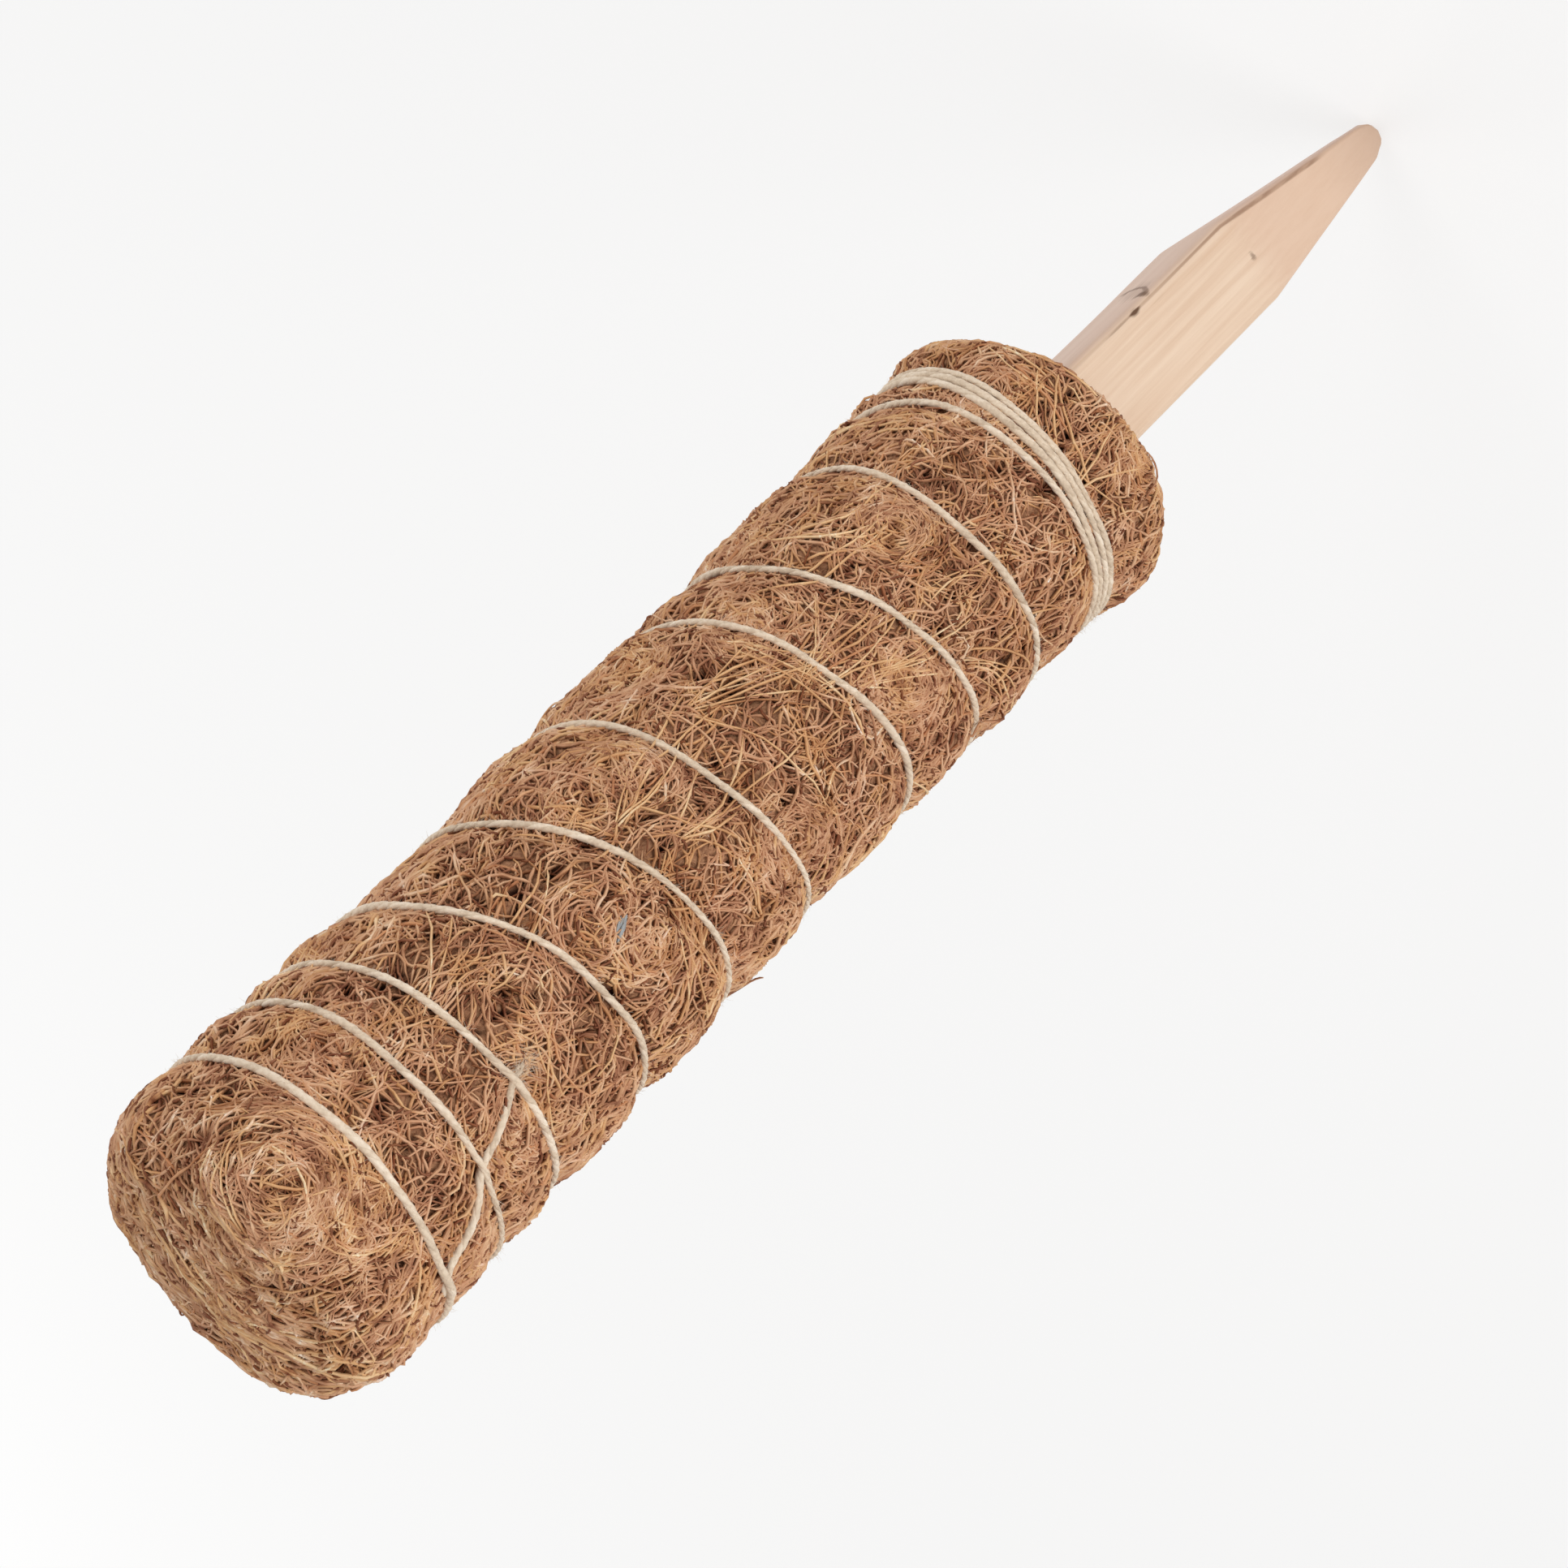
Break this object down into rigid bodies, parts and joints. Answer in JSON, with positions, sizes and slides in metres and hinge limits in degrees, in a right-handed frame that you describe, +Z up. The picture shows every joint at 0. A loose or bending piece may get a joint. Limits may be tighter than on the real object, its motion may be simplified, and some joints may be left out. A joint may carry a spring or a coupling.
{
  "type": "moss pole",
  "caption": "Climbing-plant support pole: pointed square wooden stake wrapped in coir mat with a rounded closed top, bound by spiral cotton twine.",
  "frame": {"origin": "on the stake's axis at the coir's base, level with the soil when the stake is pushed in", "axes": "+Z up along the pole to the closed coir end, -Z towards the stake's tip, X and Y square to the stake's flat sides"},
  "size_m": [0.0512, 0.0512, 0.301],
  "materials": {
    "wood": "bare planed softwood, pale and matte",
    "coir": "matted coconut fibre, tan to dark brown, matte",
    "twine": "undyed twisted cotton, slightly fuzzy",
    "staple_wire": "galvanised wire"
  },
  "bodies": {
    "root": {"stake": "wood", "inner_coir_mat": "coir", "top_coir_pad": "coir", "outer_coir_mat": "coir", "binding_twine": "twine", "mat_staple_1": "staple_wire", "mat_staple_2": "staple_wire", "mat_staple_3": "staple_wire", "mat_staple_4": "staple_wire"}
  },
  "joints": []
}
